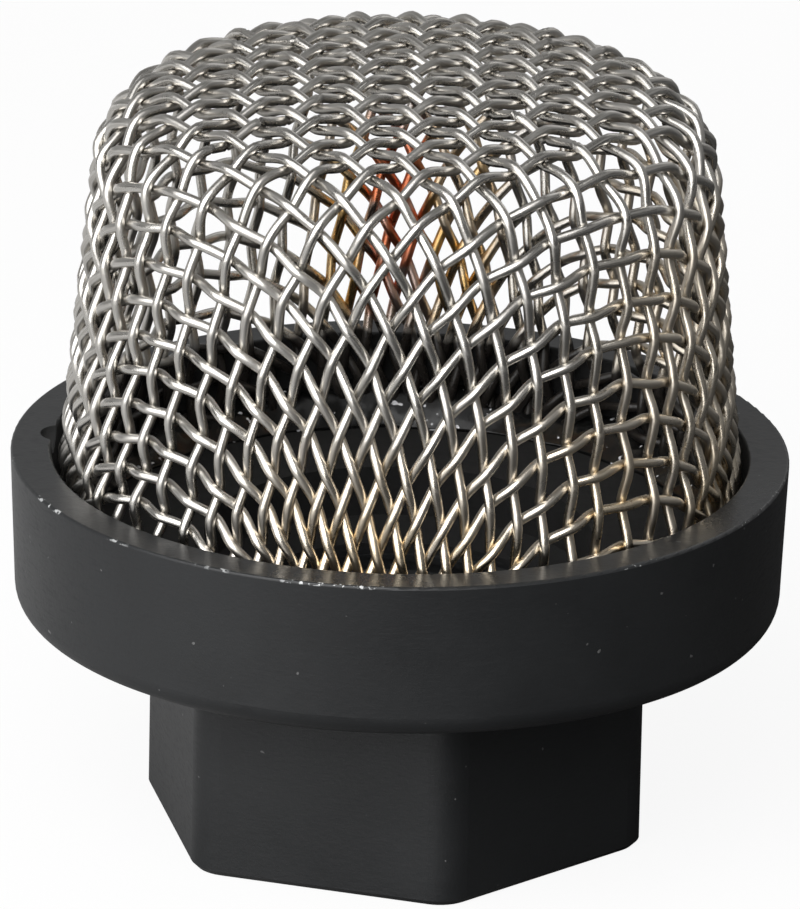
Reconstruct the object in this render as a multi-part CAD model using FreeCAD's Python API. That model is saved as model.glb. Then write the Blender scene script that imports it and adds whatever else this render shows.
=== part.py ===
import FreeCAD, Part
import math
import os

from FreeCAD import Vector

# Pump inlet strainer: a moulded plastic body with a threaded bore, a hexagonal boss and a round cup,
# a dome of woven wire cloth standing in the cup, and the bead of adhesive that holds the cloth's edge.
# Millimetres. The origin is the centre of the boss's lower face, and +Z runs up the bore's axis.

# Hexagonal boss
BOSS_ACROSS_FLATS = 31.75
BOSS_HEIGHT = 15.8
BOSS_CORNER_RADIUS = 2.85
BOSS_LOWER_CHAMFER = 0.4
BOSS_TURN = 12.6            # degrees from the -Y direction to the nearest corner, towards +X
BOSS_ROOT = 1.0             # how far the prism runs up into the cup's solid base

# Round cup above the boss
CUP_HEIGHT = 11.2
CUP_INNER_RADIUS = 24.2
CUP_RIM_WALL = 2.8
CUP_FLARE = 0.45            # how much wider the rim is than the cup's base, on the radius
CUP_LOWER_ROUNDING = 1.6
CUP_DEPTH = 6.2
RIM_EDGE_ROUNDING = 0.2

# Bore through the body
THREAD_MAJOR_RADIUS = 11.11
THREAD_MOUTH_CHAMFER = 0.9
RELIEF_RADIUS = 13.5
RELIEF_DEPTH = 3.6
RELIEF_CONE_HEIGHT = 1.2

# Small dent in the rim's inner edge
DENT_RADIUS = 1.7
DENT_REACH = 0.9
DENT_AZIMUTH = 265.0        # degrees from -Y, turning towards +X

# Dome of wire cloth, measured over the outside of the wires
WIRE_DIAMETER = 0.70
DOME_RISE = 27.8            # crown above the cup's rim
DOME_CROWN_SAG = 1.05
DOME_SHOULDER_RADIUS = 6.15
DOME_WALL_TAPER = 2.43      # how much narrower the wall is at the shoulder than at its foot, on the radius
DOME_FOOT_CLEARANCE = 0.05  # between the cloth's foot and the cup's wall
DOME_FOOT_LIFT = 0.6        # adhesive under the cloth's edge

# Open lattice that stands for the weave
LATTICE_PITCH = 6.8
LATTICE_RIDGE = 1.05        # width of a ridge's crest
LATTICE_TAPER_DEPTH = 7.5   # how far below the surface the sides of a gap would meet
LATTICE_LAND = 0.6          # solid cloth left above the adhesive
WARP_TURN = 43.0            # degrees from -Y to the line of the nearest straight wires
WALL_STRETCH_STRAIGHT = 1.11
WALL_STRETCH_BIAS = 1.27
WIRE_GATHER = 0.13          # radians by which wires leave the straight lines for the bias lines
WIRE_GATHER_EVEN = 0.035    # radians by which that crowding is spread out beside the bias lines

# Flat facets that the dome's wall is built from
DOME_SIDES = 60
CROWN_RINGS = 3
SHOULDER_RINGS = 6

# Adhesive bead
BEAD_INNER_WIDTH = 1.6
BEAD_HEIGHT = 2.1

CUP_RIM_RADIUS = CUP_INNER_RADIUS + CUP_RIM_WALL
CUP_BASE_RADIUS = CUP_RIM_RADIUS - CUP_FLARE
CUP_RIM_Z = BOSS_HEIGHT + CUP_HEIGHT
CUP_FLOOR_Z = CUP_RIM_Z - CUP_DEPTH
RELIEF_FLOOR_Z = CUP_FLOOR_Z - RELIEF_DEPTH
CLOTH_THICKNESS = 2.0 * WIRE_DIAMETER
DOME_TOP_Z = CUP_RIM_Z + DOME_RISE
DOME_FOOT_RADIUS = CUP_INNER_RADIUS - DOME_FOOT_CLEARANCE
DOME_WALL_RADIUS = DOME_FOOT_RADIUS - DOME_WALL_TAPER
DOME_FOOT_Z = CUP_FLOOR_Z + DOME_FOOT_LIFT
MARGIN = 5.0                # how far cutting tools pass the faces that they cut


def revolved(corners):
    """Solid of revolution about Z from radius and height pairs joined by straight lines."""
    points = [Vector(radius, 0, height) for radius, height in corners]
    face = Part.Face(Part.makePolygon(points + points[:1]))
    return face.revolve(Vector(0, 0, 0), Vector(0, 0, 1), 360)


def edges_at(shape, radius, height):
    """Circular edges about Z of the given radius and height."""
    found = []
    for edge in shape.Edges:
        if not isinstance(edge.Curve, Part.Circle):
            continue
        circle = edge.Curve
        if abs(circle.Radius - radius) < 1e-4 and abs(circle.Center.z - height) < 1e-4:
            found.append(edge)
    return found


def around(azimuth, radius, height):
    """Point at an azimuth in degrees from -Y, turning towards +X."""
    turn = math.radians(azimuth)
    return Vector(radius * math.sin(turn), -radius * math.cos(turn), height)


def boss():
    """Hexagonal prism with rounded corners and a chamfered lower edge."""
    corner_distance = BOSS_ACROSS_FLATS / math.sqrt(3.0)
    corners = [around(BOSS_TURN + 60 * k, corner_distance, 0) for k in range(6)]
    face = Part.Face(Part.makePolygon(corners + corners[:1]))
    prism = face.extrude(Vector(0, 0, BOSS_HEIGHT + BOSS_ROOT))
    upright = [edge for edge in prism.Edges if edge.BoundBox.ZLength > BOSS_HEIGHT]
    prism = prism.makeFillet(BOSS_CORNER_RADIUS, upright)
    lower = [edge for edge in prism.Edges if edge.BoundBox.ZMax < 1e-6]
    return prism.makeChamfer(BOSS_LOWER_CHAMFER, lower)


def cup():
    """Round cup with a slightly flared side, rounded below, with its floor left solid."""
    blank = revolved([
        (0, BOSS_HEIGHT),
        (CUP_BASE_RADIUS, BOSS_HEIGHT),
        (CUP_RIM_RADIUS, CUP_RIM_Z),
        (CUP_INNER_RADIUS, CUP_RIM_Z),
        (CUP_INNER_RADIUS, CUP_FLOOR_Z),
        (0, CUP_FLOOR_Z),
    ])
    blank = blank.makeFillet(CUP_LOWER_ROUNDING, edges_at(blank, CUP_BASE_RADIUS, BOSS_HEIGHT))
    rim = edges_at(blank, CUP_RIM_RADIUS, CUP_RIM_Z) + edges_at(blank, CUP_INNER_RADIUS, CUP_RIM_Z)
    return blank.makeFillet(RIM_EDGE_ROUNDING, rim)


def bore():
    """Cutting tool for the thread's bore, its chamfered mouth and the wider relief above it."""
    return revolved([
        (0, -MARGIN),
        (THREAD_MAJOR_RADIUS + THREAD_MOUTH_CHAMFER + MARGIN, -MARGIN),
        (THREAD_MAJOR_RADIUS, THREAD_MOUTH_CHAMFER),
        (THREAD_MAJOR_RADIUS, RELIEF_FLOOR_Z - RELIEF_CONE_HEIGHT),
        (RELIEF_RADIUS, RELIEF_FLOOR_Z),
        (RELIEF_RADIUS, CUP_FLOOR_Z + MARGIN),
        (0, CUP_FLOOR_Z + MARGIN),
    ])


def body():
    """Moulded body: the boss and the cup as one piece, with the bore through both."""
    solid = boss().fuse(cup()).removeSplitter()
    dent_centre = around(DENT_AZIMUTH, CUP_INNER_RADIUS + DENT_REACH - DENT_RADIUS, CUP_RIM_Z)
    dent = Part.makeSphere(DENT_RADIUS, dent_centre)
    return solid.cut([bore(), dent])


def dome_section(inset):
    """Radii, centres and angles of the dome's profile, moved inwards from the outside of the wires."""
    arm = DOME_WALL_RADIUS - DOME_SHOULDER_RADIUS
    crown_radius = (arm * arm + DOME_CROWN_SAG * DOME_CROWN_SAG) / (2 * DOME_CROWN_SAG)
    crown_centre_z = DOME_TOP_Z - crown_radius
    shoulder_centre_z = crown_centre_z + math.sqrt((crown_radius - DOME_SHOULDER_RADIUS) ** 2 - arm * arm)
    lean = math.atan2(DOME_WALL_TAPER, shoulder_centre_z - DOME_FOOT_Z)
    return {
        "arm": arm,
        "crown_radius": crown_radius - inset,
        "crown_centre_z": crown_centre_z,
        "shoulder_radius": DOME_SHOULDER_RADIUS - inset,
        "shoulder_centre_z": shoulder_centre_z,
        "crown_angle": math.atan2(arm, shoulder_centre_z - crown_centre_z),
        "wall_angle": math.pi / 2 - lean,
    }


def crown_point(section, angle):
    """Radius and height of the crown at an angle from the axis."""
    radius = section["crown_radius"]
    return radius * math.sin(angle), section["crown_centre_z"] + radius * math.cos(angle)


def shoulder_point(section, angle):
    """Radius and height of the shoulder where its outward direction makes an angle with the axis."""
    radius = section["shoulder_radius"]
    return section["arm"] + radius * math.sin(angle), section["shoulder_centre_z"] + radius * math.cos(angle)


def wall_point(section, distance):
    """Radius and height of the sloping wall at a distance below the shoulder."""
    radius, height = shoulder_point(section, section["wall_angle"])
    return radius + distance * math.cos(section["wall_angle"]), height - distance * math.sin(section["wall_angle"])


def dome_profile(inset):
    """Radius and height pairs from the crown to the foot."""
    section = dome_section(inset)
    crown_step = section["crown_angle"] / CROWN_RINGS
    shoulder_step = (section["wall_angle"] - section["crown_angle"]) / SHOULDER_RINGS
    points = [crown_point(section, crown_step * k) for k in range(CROWN_RINGS)]
    for k in range(SHOULDER_RINGS + 1):
        points.append(shoulder_point(section, section["crown_angle"] + shoulder_step * k))
    wall_top = points[-1][1]
    points.append(wall_point(section, (wall_top - DOME_FOOT_Z) / math.sin(section["wall_angle"])))
    return points


def dome_shell():
    """Closed wall of the cloth's full thickness, from its crown to its foot in the cup."""
    loop = dome_profile(0) + dome_profile(CLOTH_THICKNESS)[::-1]
    step = 360.0 / DOME_SIDES
    faces = []
    for upper, lower in zip(loop, loop[1:]):
        for side in range(DOME_SIDES):
            corners = []
            for radius, height in (upper, lower):
                turns = (side, side + 1) if radius > 0 else (side,)
                ring = [around(turn * step, radius, height) for turn in turns]
                corners += ring if not corners else ring[::-1]
            faces.append(Part.Face(Part.makePolygon(corners + corners[:1])))
    return Part.Solid(Part.Shell(faces))


def dome_place(distance, azimuth):
    """Point and outward direction on the dome at an arc length from its crown."""
    section = dome_section(0)
    crown_length = section["crown_radius"] * section["crown_angle"]
    shoulder_turn = section["wall_angle"] - section["crown_angle"]
    shoulder_length = section["shoulder_radius"] * shoulder_turn
    if distance < crown_length:
        angle = distance / section["crown_radius"]
        radius, height = crown_point(section, angle)
    elif distance < crown_length + shoulder_length:
        angle = section["crown_angle"] + (distance - crown_length) / section["shoulder_radius"]
        radius, height = shoulder_point(section, angle)
    else:
        angle = section["wall_angle"]
        radius, height = wall_point(section, distance - crown_length - shoulder_length)
    return around(azimuth, radius, height), around(azimuth, math.sin(angle), math.cos(angle))


def drawn(across, along):
    """Place on the dome of a point of the flat cloth, given along its two sets of wires."""
    flat_distance = math.hypot(across, along)
    flat_turn = math.atan2(along, across)
    wall_start = DOME_WALL_RADIUS - DOME_SHOULDER_RADIUS / 2
    past_shoulder = max(0.0, flat_distance - wall_start)
    bias = math.sin(2 * flat_turn) ** 2
    stretch = WALL_STRETCH_STRAIGHT + (WALL_STRETCH_BIAS - WALL_STRETCH_STRAIGHT) * bias
    distance = flat_distance + past_shoulder * (stretch - 1)
    gather = WIRE_GATHER * math.sin(4 * flat_turn) + WIRE_GATHER_EVEN * math.sin(8 * flat_turn)
    turn = flat_turn + gather * min(1.0, past_shoulder / DOME_SHOULDER_RADIUS)
    return dome_place(distance, WARP_TURN + math.degrees(turn))


def gap_cutter(across, along):
    """Pyramid through the wall at one opening of the lattice, or None where it would meet the adhesive."""
    half = (LATTICE_PITCH - LATTICE_RIDGE) / 2
    offsets = [(-half, -half), (half, -half), (half, half), (-half, half)]
    mouth = [drawn(across + a, along + b)[0] for a, b in offsets]
    if min(point.z for point in mouth) < CUP_FLOOR_Z + BEAD_HEIGHT + LATTICE_LAND:
        return None
    centre, outward = drawn(across, along)
    tip = centre - outward * LATTICE_TAPER_DEPTH
    base = []
    for point in mouth:
        ray = point - tip
        reach = (LATTICE_TAPER_DEPTH + MARGIN) / ray.dot(outward)
        base.append(tip + ray * reach)
    sides = [(tip, base[k], base[(k + 1) % 4]) for k in range(4)]
    faces = [Part.Face(Part.makePolygon(list(side) + [side[0]])) for side in sides]
    faces.append(Part.Face(Part.makePolygon(base + base[:1])))
    return Part.Solid(Part.Shell(faces))


def screen(wall):
    """Dome of wire cloth: one wall with ridges along both sets of wires and the gaps between them."""
    reach = math.ceil((DOME_RISE + DOME_WALL_RADIUS) / LATTICE_PITCH)
    cutters = []
    for row in range(-reach, reach + 1):
        for column in range(-reach, reach + 1):
            cutter = gap_cutter(row * LATTICE_PITCH, column * LATTICE_PITCH)
            if cutter is not None:
                cutters.append(cutter)
    print("gaps in the screen:", len(cutters))
    return wall.cut(cutters)


def adhesive_bead(wall):
    """Ring of adhesive on the cup's floor, against its wall and round the cloth's foot."""
    foot_inner_radius = DOME_FOOT_RADIUS - CLOTH_THICKNESS
    ring = revolved([
        (foot_inner_radius - BEAD_INNER_WIDTH, CUP_FLOOR_Z),
        (CUP_INNER_RADIUS, CUP_FLOOR_Z),
        (CUP_INNER_RADIUS, CUP_FLOOR_Z + BEAD_HEIGHT),
        (foot_inner_radius - BEAD_INNER_WIDTH / 2, CUP_FLOOR_Z + BEAD_HEIGHT),
    ])
    return ring.cut(wall)


def main():
    os.makedirs("parts", exist_ok=True)
    wall = dome_shell()
    nodes = {
        "body": body(),
        "screen": screen(wall),
        "adhesive_bead": adhesive_bead(wall),
    }
    for name, shape in nodes.items():
        print(name, "valid", shape.isValid(), "solids", len(shape.Solids), "volume", round(shape.Volume, 2))
        shape.exportStep(f"parts/{name}.step")


main()
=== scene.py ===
import math

import bpy
import numpy as np
from mathutils import Matrix, Vector

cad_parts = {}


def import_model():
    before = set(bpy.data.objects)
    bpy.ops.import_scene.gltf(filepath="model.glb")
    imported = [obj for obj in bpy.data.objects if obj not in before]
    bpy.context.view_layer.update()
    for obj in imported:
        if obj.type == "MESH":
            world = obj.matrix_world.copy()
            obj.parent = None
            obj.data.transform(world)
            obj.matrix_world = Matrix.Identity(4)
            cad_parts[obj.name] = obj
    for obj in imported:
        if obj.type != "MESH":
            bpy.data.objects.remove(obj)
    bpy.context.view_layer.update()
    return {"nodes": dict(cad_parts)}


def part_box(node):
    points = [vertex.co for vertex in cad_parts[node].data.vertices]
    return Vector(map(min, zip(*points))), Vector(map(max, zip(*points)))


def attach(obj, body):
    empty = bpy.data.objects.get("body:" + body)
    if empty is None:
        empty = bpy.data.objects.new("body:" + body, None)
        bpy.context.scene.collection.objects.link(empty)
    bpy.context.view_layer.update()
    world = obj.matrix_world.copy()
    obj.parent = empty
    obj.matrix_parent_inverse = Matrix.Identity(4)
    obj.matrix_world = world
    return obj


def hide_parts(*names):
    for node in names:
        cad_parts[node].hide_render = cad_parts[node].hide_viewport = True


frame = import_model()

# Pump inlet strainer: woven wire cloth drawn into a dome, the thread in the bore of its plastic body and
# the adhesive round the cloth's foot. Sizes are in millimetres and angles in degrees, unless a comment
# says otherwise. -Y faces the camera and +X is on its right.
MM = 0.001

# Heights and radii of the body
BORE_RADIUS = 11.11
BORE_CHAMFER = 0.9
BORE_TOP = 16.0
RELIEF_RADIUS = 13.5
CUP_FLOOR = 20.8
CUP_RIM = 27.0
CUP_INNER_RADIUS = 24.2
CUP_OUTER_RADIUS = 27.0

# Dome of cloth, measured at the middle of its thickness
WIRE_DIAMETER = 0.70
CROWN_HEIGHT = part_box("screen")[1].z / MM - WIRE_DIAMETER
CROWN_SAG = 1.05
SHOULDER_RADIUS = 5.5
WALL_RADIUS = 21.07
FOOT_RADIUS = 23.45
FOOT_HEIGHT = 21.4

# How the flat cloth lies on the dome
PITCH = 2.77                # between neighbouring wires before drawing
CENTRE_ROW = 1.29           # the wires that would cross at the crown, counted in wires
CENTRE_COLUMN = 0.19
CLOTH_TURN = 44.2           # from -Y to the line of the wires that run down the right front
DRAWN_FROM = 12.0           # radius of the flat cloth where the drawing begins to pull
DRAW_LENGTH = 10.0          # length to which the terms below refer
PULL_EVEN = (0.050, 0.234)  # lengthening in all directions: linear and square terms
PULL_STRAIGHT = (0.0145, -0.470)   # more along the wires than across them
PULL_WARP = (0.046, 0.045)  # more along one set of wires than along the other
GATHER_FOUR = (0.0294, 0.0031)     # turning of the wires towards the diagonals, in radians
GATHER_EIGHT = (-0.0048, 0.0033)
WALL_TWIST = 0.0167         # turning of the whole wall, in radians
CLOTH_REACH = 20            # wires counted to each side of the centre
CLOTH_SEED = 7
NODE_JITTER = 0.022         # unevenness of the crossings, as a share of the pitch
WIRE_JITTER = 0.03          # unevenness of whole wires, as a share of the pitch

# Shape of a wire
CRIMP_SHARPNESS = 0.35      # 0 for a smooth wave, 1 for straight runs with a kink at each crossing
WIRE_SAMPLES = 8            # rings between two crossings
WIRE_SIDES = 12
LEAST_CROSSINGS = 2         # shorter ends of wire are left out
STREAK_SHIFT = 100.0        # of the streaks from wire to wire, so that no two wires look alike
AXIS_NUDGE = 1e-3           # gives points on the axis an outward direction too

# Ridge of the internal thread
THREAD_PITCH = 1.814
THREAD_DEPTH = 0.92
THREAD_CREST = 0.25         # half the width of the flat on the ridge
THREAD_GROOVE = 0.06        # half the width of the flat between two turns
THREAD_RUN_OUT = 0.3        # turns over which the ridge starts and ends
THREAD_LEAST_WIDTH = 0.05   # share of the ridge's width at its very ends
THREAD_SINK = 0.03          # how far the ridge's foot lies inside the bore's wall
THREAD_SIDES = 96

# Adhesive bead; each set of waves is a seed and the numbers of waves that go round the ring
BEAD_CLIMB = 2.1
BEAD_CLIMB_SPREAD = 1.1
BEAD_CLIMB_WAVES = (3, (2, 3, 5, 8, 13, 21))
BEAD_WIDTH = 2.9
BEAD_WIDTH_SPREAD = 0.5
BEAD_WIDTH_WAVES = (11, (3, 4, 7, 12, 19))
BEAD_BELLY = 0.24           # swelling of the bead's face, as a share of its climb
BEAD_BELLY_SPREAD = 0.15
BEAD_BELLY_WAVES = (5, (5, 9, 17, 26))
BEAD_HOLLOW = 1.4           # 1 for a straight slope from the wall to the floor, more for a hollow one
BEAD_CLEARANCE = 0.01
BEAD_SIDES = 220
BEAD_ARC = 14
WAVE_STRENGTHS = (0.3, 1.0)
WAVE_SCALE = 1.4            # brings the mean of the waves to between about -1 and 1

# Photograph's view; focal length and image height are in pixels
IMAGE_HEIGHT = 909.0
FOCAL_PIXELS = 12985.0
CAMERA_DISTANCE = 900.0
CAMERA_ELEVATION = 20.12
CAMERA_TILT = -0.02
CAMERA_ROLL = -1.19
CAMERA_AIM_HEIGHT = 27.0
SENSOR = 36.0

# Lamps: name, azimuth from -Y towards +X, elevation, distance, size and power in watts
LAMPS = (
    ("key", -38, 31, 800, 1050, 10.4),
    ("front", -14, 40, 800, 560, 2.6),
    ("top", -10, 74, 650, 420, 0.7),
    ("back", 150, 35, 900, 500, 0.4),
)

# Colours, linear
WHITE = (1, 1, 1, 1)
PLASTIC_DARK = (0.0116, 0.0123, 0.0132, 1)
PLASTIC_PALE = (0.0155, 0.0165, 0.0176, 1)
# Painted shade: darker colour inside the cup and in the relief
PLASTIC_INSIDE_PAINTED_SHADE = (0.0085, 0.0083, 0.0083, 1)
# Pale chip marks on the rim's edge, which also stand for a painted highlight on the lit front-left edge
PLASTIC_CHIP_AND_HIGHLIGHT = (0.55, 0.56, 0.56, 1)
PLASTIC_DUST = (0.12, 0.12, 0.12, 1)
STEEL_DARK = (0.50, 0.48, 0.445, 1)
STEEL_PALE = (0.68, 0.66, 0.625, 1)
STRAW = (0.72, 0.61, 0.45, 1)
COPPER = (0.62, 0.20, 0.10, 1)
GOLD = (0.76, 0.50, 0.20, 1)
# Painted shade: black for the wires low at the back inside the cup
WIRE_PAINTED_SHADE = (0.019, 0.0165, 0.0145, 1)
ADHESIVE_DARK = (0.004, 0.004, 0.004, 1)
ADHESIVE_PALE = (0.009, 0.009, 0.0085, 1)
# Painted highlight: pale specks that stand for glints on the adhesive
ADHESIVE_PAINTED_GLINT = (0.75, 0.75, 0.77, 1)
FLOOR_COLOUR = (0.075, 0.075, 0.075, 1)

# Gloss of the finishes: roughness from the glossiest to the dullest places, and refraction
PLASTIC_ROUGHNESS = (0.42, 0.50)
PLASTIC_SCRATCH_ROUGHNESS = 0.08
PLASTIC_RIM_POLISH = 0.17   # less roughness on the rim's top
PLASTIC_INSIDE_ROUGHNESS = 0.45
PLASTIC_REFRACTION = 1.47
WIRE_ROUGHNESS = (0.23, 0.36)
ADHESIVE_ROUGHNESS = (0.10, 0.28)
ADHESIVE_REFRACTION = 1.36
FLOOR_ROUGHNESS = 0.9

# Noises: scale per metre, detail and roughness. The stretched ones take their scale from the stretch.
PLASTIC_GRAIN = (2600.0, 4.0, 0.6)
PLASTIC_CLOUD = (90.0, 4.0, 0.55)
SCRATCH_STRETCH = (900.0, 900.0, 6000.0)
SCRATCH = (1.0, 3.0, 0.6)
CHIP_AND_HIGHLIGHT_GRAIN = (2000.0, 2.0, 0.7)
CHIP_AND_HIGHLIGHT_PATCHES = (140.0, 2.0, 0.5)
DUST_GRAIN = (2200.0, 0.0, 0.5)
STREAK_STRETCH = (0.35, 14.0, 1.0)
STREAK = (1.0, 3.0, 0.6)
WIRE_GRAIN = (4200.0, 2.0, 0.6)
WIRE_BLOTCH = (260.0, 4.0, 0.6)
STRAW_PATCHES = (70.0, 3.0, 0.6)
BACK_TINT_PATCHES = (300.0, 2.0, 0.5)
LOW_SHADE_WAVES = (160.0, 2.0, 0.5)
ADHESIVE_RIPPLE = (300.0, 2.0, 0.5)
ADHESIVE_CLOUD = (500.0, 3.0, 0.5)
PAINTED_GLINT_GRAIN = (1500.0, 1.0, 0.5)

# Values of a noise between which a look changes from one level to the other
NOISE_SPAN = (0.3, 0.7)
CLOUD_SPAN = (0.25, 0.75)
SCRATCH_SPAN = (0.45, 0.75)
BLOTCH_SPAN = (0.3, 0.75)

# Values of a noise between which a mark goes from absent to full
CHIP_AND_HIGHLIGHT_CUT = (0.60, 0.66)
CHIP_AND_HIGHLIGHT_PATCH_CUT = (0.52, 0.60)
DUST_CUT = (0.855, 0.885)
STRAW_CUT = (0.38, 0.60)
BACK_TINT_CUT = (0.38, 0.52)
PAINTED_GLINT_CUT = (0.69, 0.74)

# Bumps: height in metres and strength
PLASTIC_GRAIN_BUMP = (0.00003, 0.5)
SCRATCH_BUMP = (0.00002, 0.35)
STREAK_BUMP = (0.00003, 0.4)
WIRE_GRAIN_BUMP = (0.00002, 0.5)
RIPPLE_BUMP = (0.0008, 0.5)

# Where the body's marks begin and are full, as distances from the face that they follow
CUP_WALL_FADE = (0.15, -0.05)
CUP_FLOOR_FADE = (-0.4, -0.1)
RELIEF_WALL_FADE = (0.6, 0.3)
RELIEF_FLOOR_FADE = (-0.6, -0.2)
RIM_SIDE_FADE = (-0.28, -0.16)
RIM_EDGE_FADE = (-0.24, -0.13)
RIM_TOP_FADE = (-0.1, -0.02)
CHIP_AND_HIGHLIGHT_FRONT = (5.0, -20.0)   # y over which the chip marks and the painted edge highlight fade in
CHIP_AND_HIGHLIGHT_LEFT = (1.0, -3.0)     # x over which the half with more chip marks and more painted highlight begins
CHIP_AND_HIGHLIGHT_LEFT_MORE = 0.06

# Where the wires' tints begin and are full
STRAW_HEIGHT = (42.0, 27.0)
STRAW_SIDE = (-15.0, -5.0)
STRAW_FRONT = (4.0, -6.0)
STRAW_BEHIND_LEVEL = 0.3
STRAW_PATCH_LEVEL = 0.35    # tint that is left between the patches
BROWN_SIDE = (9.0, 18.0)
BROWN_HEIGHT = (50.0, 44.0)
BROWN_LEVEL = 0.45
BACK_TINT_BEHIND = (13.0, 18.0)
BACK_TINT_WIDTH = (8.0, 4.0)
BACK_TINT_LOW = (27.0, 31.0)
BACK_TINT_HIGH = (47.0, 41.0)
BACK_TINT_PATCH_LEVEL = 0.3
BACK_TINT_FACING = (0.25, -0.2)  # y part of the surface's outward direction
COPPER_MIDDLE = -0.7
COPPER_WIDTH = (1.4, 3.0)   # from copper in the middle to gold beside it
# Painted shade on the inward sides of the wires low at the back: where it begins and is full
LOW_SHADE_HEIGHT = (28.4, 27.4)
LOW_SHADE_BACK = (3.0, 9.0)
LOW_SHADE_FACING = (0.7, 0.3)
LOW_SHADE_WAVE_HEIGHT = 1.0

# Floor; glow is what the camera and glossy surfaces see of it
FLOOR_SIZE = 6000.0
FLOOR_DROP = 0.02           # keeps the floor just clear of the face that stands on it
FLOOR_GLOW = 0.92
FLOOR_FAR = (120.0, 500.0)
FLOOR_FAR_SIDES = (-200.0, 300.0)
FLOOR_FAR_RIGHT_LEVEL = 0.2
FLOOR_LEFT = (20.0, -60.0)
FLOOR_LEFT_LEVEL = 0.65

# Studio as glossy surfaces see it: each pair of limits is of one part of the direction, and the levels
# at its two ends follow it. Everything else is lit at the least level.
STUDIO_LEAST = 0.06
STUDIO_BEHIND = (-0.1, 0.7)
STUDIO_BEHIND_LEVELS = (0.06, 0.34)
STUDIO_OVERHEAD = (0.3, 0.9)
STUDIO_OVERHEAD_LEVELS = (1.0, 0.6)
STUDIO_RIGHT = (-0.5, 0.5)
STUDIO_RIGHT_LEVELS = (1.2, 0.8)
STUDIO_WALLS = (0.1, 0.45)
STUDIO_WALL_LEVEL = 0.30
STUDIO_CEILING = (0.95, 0.7)
STUDIO_CEILING_LEVEL = 0.4


def mesh_object(name, vertices, faces, smooth=True, uvs=None):
    """Mesh object from vertices in millimetres."""
    mesh = bpy.data.meshes.new(name)
    mesh.from_pydata((np.asarray(vertices) * MM).tolist(), [], faces)
    if uvs is not None:
        layer = mesh.uv_layers.new(name="UVMap")
        loops = np.zeros(len(mesh.loops), dtype=np.int32)
        mesh.loops.foreach_get("vertex_index", loops)
        layer.data.foreach_set("uv", np.asarray(uvs, dtype=np.float32)[loops].ravel())
    mesh.polygons.foreach_set("use_smooth", [smooth] * len(mesh.polygons))
    mesh.update()
    piece = bpy.data.objects.new(name, mesh)
    bpy.context.scene.collection.objects.link(piece)
    return piece


def dome_profile(arc):
    """Radius, height and outward angle from the axis at arc lengths measured from the crown."""
    arm = WALL_RADIUS - SHOULDER_RADIUS
    crown_radius = (arm ** 2 + CROWN_SAG ** 2) / (2 * CROWN_SAG)
    crown_centre = CROWN_HEIGHT - crown_radius
    shoulder_centre = crown_centre + math.sqrt((crown_radius - SHOULDER_RADIUS) ** 2 - arm ** 2)
    crown_angle = math.atan2(arm, shoulder_centre - crown_centre)
    lean = math.atan2(FOOT_RADIUS - WALL_RADIUS, shoulder_centre - FOOT_HEIGHT)
    wall_angle = math.pi / 2 - lean
    crown_arc = crown_radius * crown_angle
    shoulder_arc = crown_arc + SHOULDER_RADIUS * (wall_angle - crown_angle)

    on_crown = arc / crown_radius
    on_shoulder = crown_angle + (arc - crown_arc) / SHOULDER_RADIUS
    angle = np.where(arc < crown_arc, on_crown, np.clip(on_shoulder, crown_angle, wall_angle))
    along_wall = np.maximum(arc - shoulder_arc, 0.0)
    crown = (crown_radius * np.sin(angle), crown_centre + crown_radius * np.cos(angle))
    shoulder = (arm + SHOULDER_RADIUS * np.sin(angle), shoulder_centre + SHOULDER_RADIUS * np.cos(angle))
    radius = np.where(arc < crown_arc, crown[0], shoulder[0] + along_wall * math.sin(lean))
    height = np.where(arc < crown_arc, crown[1], shoulder[1] - along_wall * math.cos(lean))
    return radius, height, angle


def drawn(row, column):
    """Azimuth and arc length on the dome of places in the flat cloth, counted in wires."""
    across = PITCH * (row - CENTRE_ROW)
    along = PITCH * (column - CENTRE_COLUMN)
    flat_radius = np.hypot(across, along)
    flat_turn = np.arctan2(along, across)
    past = np.maximum(flat_radius - DRAWN_FROM, 0.0) / DRAW_LENGTH
    pull = 0.0
    for (linear, square), wave in (
        (PULL_EVEN, 1.0),
        (PULL_STRAIGHT, np.cos(4 * flat_turn)),
        (PULL_WARP, np.cos(2 * flat_turn)),
    ):
        pull = pull + (DRAW_LENGTH * linear * past + square * past ** 2) * wave
    gather = 0.0
    for (linear, square), waves in ((GATHER_FOUR, 4), (GATHER_EIGHT, 8)):
        gather = gather + (linear * past + square * past ** 2) * np.sin(waves * flat_turn)
    azimuth = math.radians(CLOTH_TURN) - flat_turn - gather - WALL_TWIST * past
    return azimuth, flat_radius + pull


def on_dome(azimuth, arc, lift):
    """Points on the dome, lifted outwards from the middle of the cloth."""
    radius, height, angle = dome_profile(arc)
    radius = radius + lift * np.sin(angle)
    height = height + lift * np.cos(angle)
    return np.stack([radius * np.sin(azimuth), -radius * np.cos(azimuth), height], axis=-1)


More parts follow.
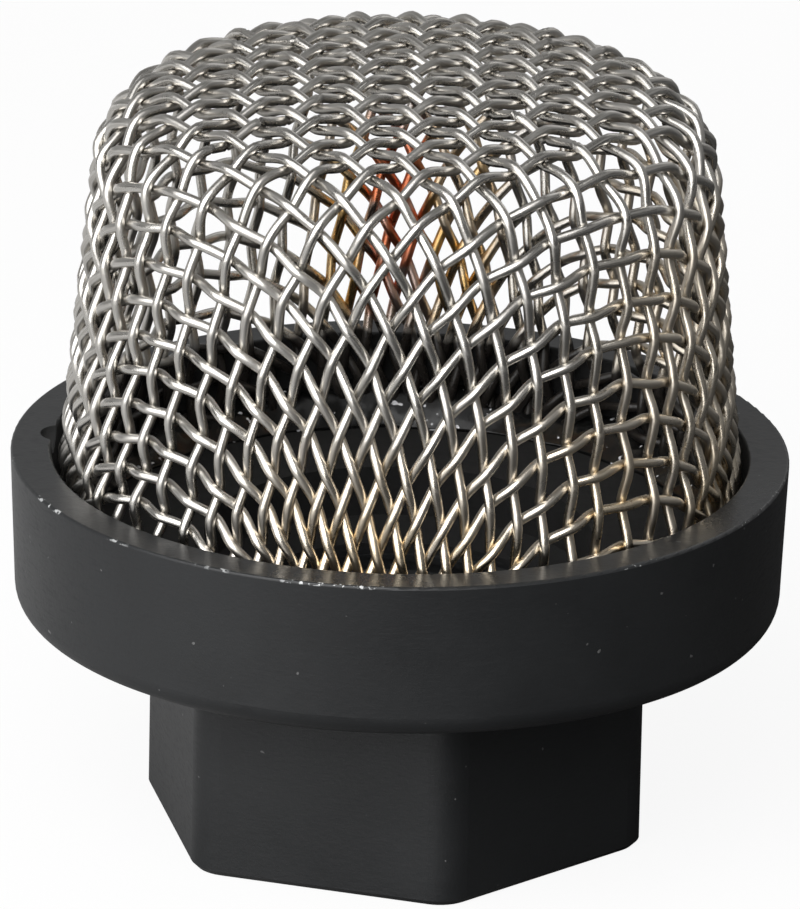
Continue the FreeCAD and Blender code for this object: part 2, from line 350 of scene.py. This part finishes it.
def tube(points, radius, sides):
    """Vertices, faces and lengthwise coordinates of a round bar with closed ends along points."""
    tangents = np.gradient(points, axis=0)
    tangents /= np.linalg.norm(tangents, axis=1)[:, None]
    outward = points * np.array([1.0, 1.0, 0.0]) + np.array([0.0, 0.0, AXIS_NUDGE])
    side = np.cross(tangents, outward)
    side /= np.linalg.norm(side, axis=1)[:, None]
    other = np.cross(side, tangents)
    turns = np.linspace(0, 2 * math.pi, sides, endpoint=False)
    ring = np.cos(turns)[None, :, None] * side[:, None, :] + np.sin(turns)[None, :, None] * other[:, None, :]
    vertices = points[:, None, :] + radius * ring
    length = np.concatenate([[0.0], np.cumsum(np.linalg.norm(np.diff(points, axis=0), axis=1))])
    uvs = np.stack(np.broadcast_arrays(length[:, None], (turns / (2 * math.pi))[None, :]), axis=-1)
    faces = []
    for k in range(len(points) - 1):
        for m in range(sides):
            n = (m + 1) % sides
            faces.append((k * sides + n, k * sides + m, (k + 1) * sides + m, (k + 1) * sides + n))
    faces.append(tuple(range(sides)))
    last = (len(points) - 1) * sides
    faces.append(tuple(range(last, last + sides))[::-1])
    return vertices.reshape(-1, 3), faces, uvs.reshape(-1, 2)


def eased(values, places):
    """Values given at whole numbers, read smoothly at places between them."""
    below = np.floor(places).astype(int)
    part = places - below
    part = (part * part * (3 - 2 * part))[:, None]
    return values[below + CLOTH_REACH] * (1 - part) + values[below + 1 + CLOTH_REACH] * part


def cloth_unevenness():
    """Small displacements of each crossing, along the two sets of wires."""
    random = np.random.RandomState(CLOTH_SEED)
    count = 2 * CLOTH_REACH + 2
    rows = random.normal(0, WIRE_JITTER, count)[:, None, None] * np.array([1.0, 0.0])
    columns = random.normal(0, WIRE_JITTER, count)[None, :, None] * np.array([0.0, 1.0])
    return rows + columns + random.normal(0, NODE_JITTER, (count, count, 2))


def crimp_wave(places):
    """Height of the crimp at places along a wire: 1 at even crossings and -1 at odd ones."""
    smooth = np.cos(math.pi * places)
    kinked = 2 * np.abs((places % 2) - 1) - 1
    return smooth * (1 - CRIMP_SHARPNESS) + kinked * CRIMP_SHARPNESS


def wire_set(name, first):
    """All the wires of one set; the first set runs with the rows, the other with the columns."""
    uneven = cloth_unevenness()
    steps = np.arange(-CLOTH_REACH, CLOTH_REACH, 1.0 / WIRE_SAMPLES)
    vertices, faces, uvs = [], [], []
    start = 0
    for number in range(-CLOTH_REACH + 1, CLOTH_REACH):
        if first:
            shift = eased(uneven[:, number + CLOTH_REACH], steps)
            row, column = steps, np.full_like(steps, number)
        else:
            shift = eased(uneven[number + CLOTH_REACH], steps)
            row, column = np.full_like(steps, number), steps
        azimuth, arc = drawn(row + shift[:, 0], column + shift[:, 1])
        crimp = 0.5 * WIRE_DIAMETER * crimp_wave(row + column)
        points = on_dome(azimuth, arc, -crimp if first else crimp)
        points = points[points[:, 2] > FOOT_HEIGHT]
        if len(points) < LEAST_CROSSINGS * WIRE_SAMPLES:
            continue
        ring, quads, coordinates = tube(points, WIRE_DIAMETER / 2, WIRE_SIDES)
        coordinates[:, 0] += STREAK_SHIFT * (number + CLOTH_REACH)
        vertices.append(ring)
        faces += [tuple(index + start for index in quad) for quad in quads]
        uvs.append(coordinates)
        start += len(ring)
    return mesh_object(name, np.concatenate(vertices), faces, uvs=np.concatenate(uvs))


def bore_thread():
    """Ridge of the internal thread, on the wall of the bore."""
    turns = (BORE_TOP - BORE_CHAMFER - THREAD_PITCH) / THREAD_PITCH
    count = int(turns * THREAD_SIDES)
    run_out = THREAD_RUN_OUT * THREAD_SIDES
    root = BORE_RADIUS + THREAD_SINK
    vertices = []
    for k in range(count + 1):
        turn = 2 * math.pi * k / THREAD_SIDES
        fade = min(1.0, k / run_out, (count - k) / run_out)
        crest = BORE_RADIUS - THREAD_DEPTH * fade
        middle = BORE_CHAMFER + THREAD_PITCH * (0.5 + k / THREAD_SIDES)
        half = (0.5 * THREAD_PITCH - THREAD_GROOVE) * max(fade, THREAD_LEAST_WIDTH)
        flat = min(half, THREAD_CREST)
        for radius, height in ((root, -half), (crest, -flat), (crest, flat), (root, half)):
            vertices.append((radius * math.cos(turn), radius * math.sin(turn), middle + height))
    faces = []
    for k in range(count):
        for m in range(4):
            n = (m + 1) % 4
            faces.append((4 * k + n, 4 * k + 4 + n, 4 * k + 4 + m, 4 * k + m))
    faces.append((3, 2, 1, 0))
    faces.append((4 * count, 4 * count + 1, 4 * count + 2, 4 * count + 3))
    return mesh_object("bore_thread", vertices, faces, smooth=False)


def wavy(turn, seed, waves):
    """Smooth closed curve round the ring made of a few seeded waves, between about -1 and 1."""
    random = np.random.RandomState(seed)
    total = np.zeros_like(turn)
    for number in waves:
        total += random.uniform(*WAVE_STRENGTHS) * np.sin(number * turn + random.uniform(0, 2 * math.pi))
    return total / len(waves) * WAVE_SCALE


def adhesive_ring():
    """Uneven bead of adhesive in the corner of the cup, round the cloth's foot."""
    turn = np.linspace(0, 2 * math.pi, BEAD_SIDES, endpoint=False)
    climb = BEAD_CLIMB + BEAD_CLIMB_SPREAD * wavy(turn, *BEAD_CLIMB_WAVES)
    width = BEAD_WIDTH + BEAD_WIDTH_SPREAD * wavy(turn, *BEAD_WIDTH_WAVES)
    belly = BEAD_BELLY + BEAD_BELLY_SPREAD * wavy(turn, *BEAD_BELLY_WAVES)
    section = np.linspace(0, 1, BEAD_ARC)
    base = CUP_FLOOR + BEAD_CLEARANCE
    radius = CUP_INNER_RADIUS - BEAD_CLEARANCE - width[:, None] * section[None, :]
    height = climb[:, None] * (1 - section[None, :]) ** BEAD_HOLLOW * np.ones_like(radius)
    height += belly[:, None] * np.sin(math.pi * section)[None, :] * climb[:, None]
    radius = np.concatenate([radius, radius[:, :1]], axis=1)
    height = np.concatenate([base + height, np.full_like(height[:, :1], base)], axis=1)
    across = radius.shape[1]
    vertices = np.stack([
        radius * np.cos(turn)[:, None],
        radius * np.sin(turn)[:, None],
        height,
    ], axis=-1).reshape(-1, 3)
    faces = []
    for k in range(BEAD_SIDES):
        after = (k + 1) % BEAD_SIDES
        for m in range(across):
            n = (m + 1) % across
            faces.append((k * across + n, k * across + m, after * across + m, after * across + n))
    return mesh_object("adhesive_ring", vertices, faces)


class Nodes:
    """Short way to build a node tree."""

    def __init__(self, tree):
        self.tree = tree

    def put(self, node, key, value):
        """Link an input, given by its name or number, to a socket, or set it to a value."""
        socket = node.inputs[key]
        if isinstance(value, bpy.types.NodeSocket):
            self.tree.links.new(value, socket)
        else:
            socket.default_value = value

    def add(self, kind, **inputs):
        node = self.tree.nodes.new(kind)
        for name, value in inputs.items():
            self.put(node, name, value)
        return node

    def maths(self, operation, *values):
        node = self.tree.nodes.new("ShaderNodeMath")
        node.operation = operation
        for number, value in enumerate(values):
            self.put(node, number, value)
        return node.outputs[0]

    def times(self, *values):
        """Product of two or more values."""
        product = values[0]
        for value in values[1:]:
            product = self.maths("MULTIPLY", product, value)
        return product

    def ramp(self, value, limits, to_low=0.0, to_high=1.0):
        """Smooth change from one level to another while a value goes from its first to its second limit."""
        node = self.tree.nodes.new("ShaderNodeMapRange")
        node.interpolation_type = "SMOOTHSTEP"
        self.put(node, "Value", value)
        self.put(node, "From Min", limits[0])
        self.put(node, "From Max", limits[1])
        self.put(node, "To Min", to_low)
        self.put(node, "To Max", to_high)
        return node.outputs[0]

    def fade(self, value, limits, to_low=0.0, to_high=1.0, start=0.0):
        """Ramp over places in millimetres, counted from a start."""
        return self.ramp(value, [(start + limit) * MM for limit in limits], to_low, to_high)

    def mix(self, share, first, second):
        """Mix of two colours; counted from 0, the node takes them at inputs 6 and 7 and gives output 2."""
        node = self.tree.nodes.new("ShaderNodeMix")
        node.data_type = "RGBA"
        self.put(node, 0, share)
        self.put(node, 6, first)
        self.put(node, 7, second)
        return node.outputs[2]

    def noise(self, vector, scale, detail, roughness):
        node = self.add("ShaderNodeTexNoise", Vector=vector, Scale=scale, Detail=detail, Roughness=roughness)
        return node.outputs[0]

    def stretched(self, vector, scale):
        return self.add("ShaderNodeMapping", Vector=vector, Scale=scale).outputs[0]

    def bump(self, height, distance, strength):
        return self.add("ShaderNodeBump", Height=height, Distance=distance, Strength=strength)

    def coordinates(self, kind):
        return self.add("ShaderNodeTexCoord").outputs[kind]

    def parts(self, vector):
        """The x, y and z parts of a vector."""
        return self.add("ShaderNodeSeparateXYZ", Vector=vector).outputs

    def axis_distance(self, parts):
        """Distance of a place from the Z axis."""
        squares = self.maths("ADD", self.times(parts[0], parts[0]), self.times(parts[1], parts[1]))
        return self.maths("SQRT", squares)


def material(name):
    """New material, its node helper and its main shader."""
    made = bpy.data.materials.new(name)
    made.use_nodes = True
    return made, Nodes(made.node_tree), made.node_tree.nodes["Principled BSDF"]


def body_interior(nodes, parts, radius):
    """1 inside the cup and in the relief above the thread, else 0."""
    cup = nodes.times(
        nodes.fade(radius, CUP_WALL_FADE, start=CUP_INNER_RADIUS),
        nodes.fade(parts[2], CUP_FLOOR_FADE, start=CUP_FLOOR),
    )
    relief = nodes.times(
        nodes.fade(radius, RELIEF_WALL_FADE, start=RELIEF_RADIUS),
        nodes.fade(parts[2], RELIEF_FLOOR_FADE, start=BORE_TOP),
    )
    return nodes.maths("MAXIMUM", cup, relief)


def rim_chips_and_highlight(nodes, place, parts, radius):
    """Places of chip marks on the rim's outer edge, which also paint the edge's highlight, at the front and
    more of them on the lit left.
    """
    near_edge = nodes.times(
        nodes.fade(radius, RIM_SIDE_FADE, start=CUP_OUTER_RADIUS),
        nodes.fade(parts[2], RIM_EDGE_FADE, start=CUP_RIM),
    )
    more_on_left = nodes.fade(parts[0], CHIP_AND_HIGHLIGHT_LEFT, 0.0, CHIP_AND_HIGHLIGHT_LEFT_MORE)
    grain = nodes.maths("ADD", nodes.noise(place, *CHIP_AND_HIGHLIGHT_GRAIN), more_on_left)
    patches = nodes.maths("ADD", nodes.noise(place, *CHIP_AND_HIGHLIGHT_PATCHES), more_on_left)
    chip_and_highlight_share = nodes.times(nodes.ramp(grain, CHIP_AND_HIGHLIGHT_CUT), nodes.ramp(patches, CHIP_AND_HIGHLIGHT_PATCH_CUT))
    return nodes.times(chip_and_highlight_share, near_edge, nodes.fade(parts[1], CHIP_AND_HIGHLIGHT_FRONT))


def body_material():
    """Satin black moulding: fine grain and handling marks, chip marks with a painted edge highlight, specks
    of dust, and a duller inside darkened with painted shade.
    """
    made, nodes, shader = material("satin_black_plastic")
    place = nodes.coordinates("Object")
    parts = nodes.parts(place)
    radius = nodes.axis_distance(parts)
    cloud = nodes.noise(place, *PLASTIC_CLOUD)
    scratch = nodes.noise(nodes.stretched(place, SCRATCH_STRETCH), *SCRATCH)
    inside = body_interior(nodes, parts, radius)
    dust = nodes.ramp(nodes.noise(place, *DUST_GRAIN), DUST_CUT)
    dust = nodes.times(dust, nodes.maths("SUBTRACT", 1.0, inside))

    colour = nodes.mix(nodes.ramp(cloud, NOISE_SPAN), PLASTIC_DARK, PLASTIC_PALE)
    # Painted shade: the cup's inside and the relief are coloured darker
    colour = nodes.mix(inside, colour, PLASTIC_INSIDE_PAINTED_SHADE)
    # Chip marks and painted highlight along the rim's front-left outer edge
    colour = nodes.mix(rim_chips_and_highlight(nodes, place, parts, radius), colour, PLASTIC_CHIP_AND_HIGHLIGHT)
    nodes.put(shader, "Base Color", nodes.mix(dust, colour, PLASTIC_DUST))

    rough = nodes.ramp(cloud, CLOUD_SPAN, *PLASTIC_ROUGHNESS)
    polish = nodes.fade(parts[2], RIM_TOP_FADE, 0.0, PLASTIC_RIM_POLISH, start=CUP_RIM)
    rough = nodes.maths("SUBTRACT", rough, polish)
    rough = nodes.maths("ADD", rough, nodes.ramp(scratch, SCRATCH_SPAN, 0.0, PLASTIC_SCRATCH_ROUGHNESS))
    rough = nodes.maths("ADD", rough, nodes.times(inside, PLASTIC_INSIDE_ROUGHNESS))
    nodes.put(shader, "Roughness", rough)

    grain = nodes.bump(nodes.noise(place, *PLASTIC_GRAIN), *PLASTIC_GRAIN_BUMP)
    marks = nodes.bump(scratch, *SCRATCH_BUMP)
    nodes.put(marks, "Normal", grain.outputs[0])
    nodes.put(shader, "Normal", marks.outputs[0])
    shader.inputs["IOR"].default_value = PLASTIC_REFRACTION
    return made


def straw_tint(nodes, place, parts):
    """Share of the straw tint, low on the cloth at the front and higher up at the right."""
    patches = nodes.ramp(nodes.noise(place, *STRAW_PATCHES), STRAW_CUT, STRAW_PATCH_LEVEL, 1.0)
    low = nodes.times(nodes.fade(parts[2], STRAW_HEIGHT), patches)
    front = nodes.times(
        nodes.fade(parts[0], STRAW_SIDE),
        nodes.fade(parts[1], STRAW_FRONT, STRAW_BEHIND_LEVEL, 1.0),
    )
    right = nodes.times(
        nodes.fade(parts[0], BROWN_SIDE, 0.0, BROWN_LEVEL),
        nodes.fade(parts[2], BROWN_HEIGHT),
    )
    return nodes.maths("MAXIMUM", nodes.times(low, front), right)


def back_copper_gold_tint(nodes, place, parts, facing):
    """Share of the copper and gold tint on the inward-facing sides of the back wires, and its colour: copper
    in the middle of the back and gold beside it.
    """
    behind = nodes.times(nodes.fade(parts[1], BACK_TINT_BEHIND), nodes.ramp(facing, BACK_TINT_FACING))
    beside = nodes.fade(nodes.maths("ABSOLUTE", parts[0]), BACK_TINT_WIDTH)
    height = nodes.times(nodes.fade(parts[2], BACK_TINT_LOW), nodes.fade(parts[2], BACK_TINT_HIGH))
    patches = nodes.ramp(nodes.noise(place, *BACK_TINT_PATCHES), BACK_TINT_CUT, BACK_TINT_PATCH_LEVEL, 1.0)
    from_middle = nodes.maths("ABSOLUTE", nodes.maths("SUBTRACT", parts[0], COPPER_MIDDLE * MM))
    colour = nodes.mix(nodes.fade(from_middle, COPPER_WIDTH), COPPER, GOLD)
    return nodes.times(behind, beside, height, patches), colour


def low_back_painted_shade(nodes, place, parts, facing):
    """Share of painted shade, black and not metal, on the inward sides of the wires low at the back."""
    wave_height = LOW_SHADE_WAVE_HEIGHT * MM
    waves = nodes.ramp(nodes.noise(place, *LOW_SHADE_WAVES), NOISE_SPAN, -wave_height, wave_height)
    edge = nodes.maths("ADD", parts[2], waves)
    return nodes.times(
        nodes.fade(edge, LOW_SHADE_HEIGHT),
        nodes.fade(parts[1], LOW_SHADE_BACK),
        nodes.ramp(facing, LOW_SHADE_FACING),
    )


def wire_material():
    """Drawn stainless wire: streaks along its length, two tints, and painted shade on it low at the back."""
    made, nodes, shader = material("drawn_stainless_wire")
    place = nodes.coordinates("Object")
    parts = nodes.parts(place)
    facing = nodes.parts(nodes.add("ShaderNodeNewGeometry").outputs["Normal"])[1]
    streak = nodes.noise(nodes.stretched(nodes.coordinates("UV"), STREAK_STRETCH), *STREAK)
    back_tint, back_tint_colour = back_copper_gold_tint(nodes, place, parts, facing)
    shaded = low_back_painted_shade(nodes, place, parts, facing)

    colour = nodes.mix(nodes.ramp(streak, NOISE_SPAN), STEEL_DARK, STEEL_PALE)
    colour = nodes.mix(straw_tint(nodes, place, parts), colour, STRAW)
    # Copper and gold tint on the inward-facing sides of the back wires
    colour = nodes.mix(back_tint, colour, back_tint_colour)
    # Painted shade: the wires low at the back turn black and lose their metal
    nodes.put(shader, "Base Color", nodes.mix(shaded, colour, WIRE_PAINTED_SHADE))
    nodes.put(shader, "Metallic", nodes.maths("SUBTRACT", 1.0, shaded))
    blotch = nodes.noise(place, *WIRE_BLOTCH)
    nodes.put(shader, "Roughness", nodes.ramp(blotch, BLOTCH_SPAN, *WIRE_ROUGHNESS))

    grain = nodes.bump(nodes.noise(place, *WIRE_GRAIN), *WIRE_GRAIN_BUMP)
    streaks = nodes.bump(streak, *STREAK_BUMP)
    nodes.put(streaks, "Normal", grain.outputs[0])
    nodes.put(shader, "Normal", streaks.outputs[0])
    return made


def adhesive_material():
    """Glossy black cured adhesive with pale specks painted in as glints."""
    made, nodes, shader = material("glossy_black_adhesive")
    place = nodes.coordinates("Object")
    ripple = nodes.noise(place, *ADHESIVE_RIPPLE)
    # Painted highlight: sparse pale specks as glints
    painted_glint = nodes.ramp(nodes.noise(place, *PAINTED_GLINT_GRAIN), PAINTED_GLINT_CUT)
    dark = nodes.mix(ripple, ADHESIVE_DARK, ADHESIVE_PALE)
    nodes.put(shader, "Base Color", nodes.mix(painted_glint, dark, ADHESIVE_PAINTED_GLINT))
    cloud = nodes.noise(place, *ADHESIVE_CLOUD)
    nodes.put(shader, "Roughness", nodes.ramp(cloud, NOISE_SPAN, *ADHESIVE_ROUGHNESS))
    nodes.put(shader, "Normal", nodes.bump(ripple, *RIPPLE_BUMP).outputs[0])
    shader.inputs["IOR"].default_value = ADHESIVE_REFRACTION
    return made


def paint(piece, finish):
    piece.data.materials.clear()
    piece.data.materials.append(finish)


def seen_directly(nodes, mirrored):
    """1 for rays from the camera, the given level for rays from gloss and through glass, else 0."""
    rays = nodes.add("ShaderNodeLightPath").outputs
    reflected = nodes.maths("MAXIMUM", rays["Is Glossy Ray"], rays["Is Transmission Ray"])
    return nodes.maths("MAXIMUM", nodes.times(reflected, mirrored), rays["Is Camera Ray"])


def floor():
    """Pale floor that keeps the object's shadow."""
    half = FLOOR_SIZE / 2
    corners = [(x * half, y * half, -FLOOR_DROP) for x, y in ((-1, -1), (1, -1), (1, 1), (-1, 1))]
    piece = mesh_object("floor", corners, [(0, 1, 2, 3)], smooth=False)
    made, nodes, shader = material("pale_floor")
    shader.inputs["Base Color"].default_value = FLOOR_COLOUR
    shader.inputs["Roughness"].default_value = FLOOR_ROUGHNESS
    shader.inputs["Specular IOR Level"].default_value = 0.0
    parts = nodes.parts(nodes.coordinates("Object"))
    far = nodes.times(
        nodes.fade(nodes.axis_distance(parts), FLOOR_FAR),
        nodes.fade(parts[0], FLOOR_FAR_SIDES, 1.0, FLOOR_FAR_RIGHT_LEVEL),
    )
    left = nodes.fade(parts[0], FLOOR_LEFT, 0.0, FLOOR_LEFT_LEVEL)
    glow = seen_directly(nodes, nodes.maths("MAXIMUM", far, left))
    shader.inputs["Emission Color"].default_value = WHITE
    nodes.put(shader, "Emission Strength", nodes.times(glow, FLOOR_GLOW))
    paint(piece, made)


def world():
    """White seen directly, and a soft grey light from all round."""
    scene_world = bpy.data.worlds.new("studio")
    scene_world.use_nodes = True
    bpy.context.scene.world = scene_world
    nodes = Nodes(scene_world.node_tree)
    background = scene_world.node_tree.nodes["Background"]
    parts = nodes.parts(nodes.coordinates("Generated"))
    behind = nodes.ramp(parts[1], STUDIO_BEHIND, *STUDIO_BEHIND_LEVELS)
    overhead = nodes.ramp(parts[2], STUDIO_OVERHEAD, *STUDIO_OVERHEAD_LEVELS)
    right = nodes.ramp(parts[0], STUDIO_RIGHT, *STUDIO_RIGHT_LEVELS)
    walls = nodes.times(
        nodes.ramp(parts[2], STUDIO_WALLS, 0.0, STUDIO_WALL_LEVEL),
        nodes.ramp(parts[2], STUDIO_CEILING, STUDIO_CEILING_LEVEL, 1.0),
    )
    grey = nodes.maths("MAXIMUM", nodes.times(behind, overhead, right), walls)
    nodes.put(background, "Strength", nodes.maths("MAXIMUM", seen_directly(nodes, grey), STUDIO_LEAST))
    background.inputs["Color"].default_value = WHITE


def softbox(name, azimuth, elevation, distance, size, power):
    """Square lamp that faces the object."""
    turn, rise = math.radians(azimuth), math.radians(elevation)
    aim = Vector((0, 0, CUP_RIM * MM))
    direction = Vector((math.sin(turn) * math.cos(rise), -math.cos(turn) * math.cos(rise), math.sin(rise)))
    lamp = bpy.data.lights.new(name, "AREA")
    lamp.shape = "SQUARE"
    lamp.size = size * MM
    lamp.energy = power
    light = bpy.data.objects.new(name, lamp)
    light.location = aim + direction * distance * MM
    light.rotation_euler = direction.to_track_quat("Z", "Y").to_euler()
    bpy.context.scene.collection.objects.link(light)


def camera():
    """Camera at the photograph's place."""
    rise = math.radians(CAMERA_ELEVATION)
    away = Vector((0, -math.cos(rise), math.sin(rise)))
    right = Vector((1, 0, 0))
    tilt = Matrix.Rotation(math.radians(CAMERA_TILT), 3, right)
    backward, up = tilt @ away, tilt @ away.cross(right)
    roll = Matrix.Rotation(math.radians(CAMERA_ROLL), 3, -backward)
    right, up = roll @ right, roll @ up
    place = away * CAMERA_DISTANCE + Vector((0, 0, CAMERA_AIM_HEIGHT))
    view = bpy.data.objects.new("camera", bpy.data.cameras.new("camera"))
    view.data.sensor_width = SENSOR
    view.data.lens = FOCAL_PIXELS / IMAGE_HEIGHT * SENSOR
    rotation = Matrix((right, up, backward)).transposed()
    view.matrix_world = Matrix.Translation(place * MM) @ rotation.to_4x4()
    bpy.context.scene.collection.objects.link(view)
    bpy.context.scene.camera = view


def dress():
    """The object's pieces and their finishes."""
    plastic = body_material()
    steel = wire_material()
    paint(frame["nodes"]["body"], plastic)
    for name, first in (("wires_down_right", True), ("wires_down_left", False)):
        wires = wire_set(name, first)
        paint(wires, steel)
        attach(wires, "root")
        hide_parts("screen")
    thread = bore_thread()
    paint(thread, plastic)
    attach(thread, "root")
    bead = adhesive_ring()
    paint(bead, adhesive_material())
    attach(bead, "root")
    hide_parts("adhesive_bead")


dress()
floor()
world()
for lamp in LAMPS:
    softbox(*lamp)
camera()
bpy.context.scene.view_settings.view_transform = "Standard"
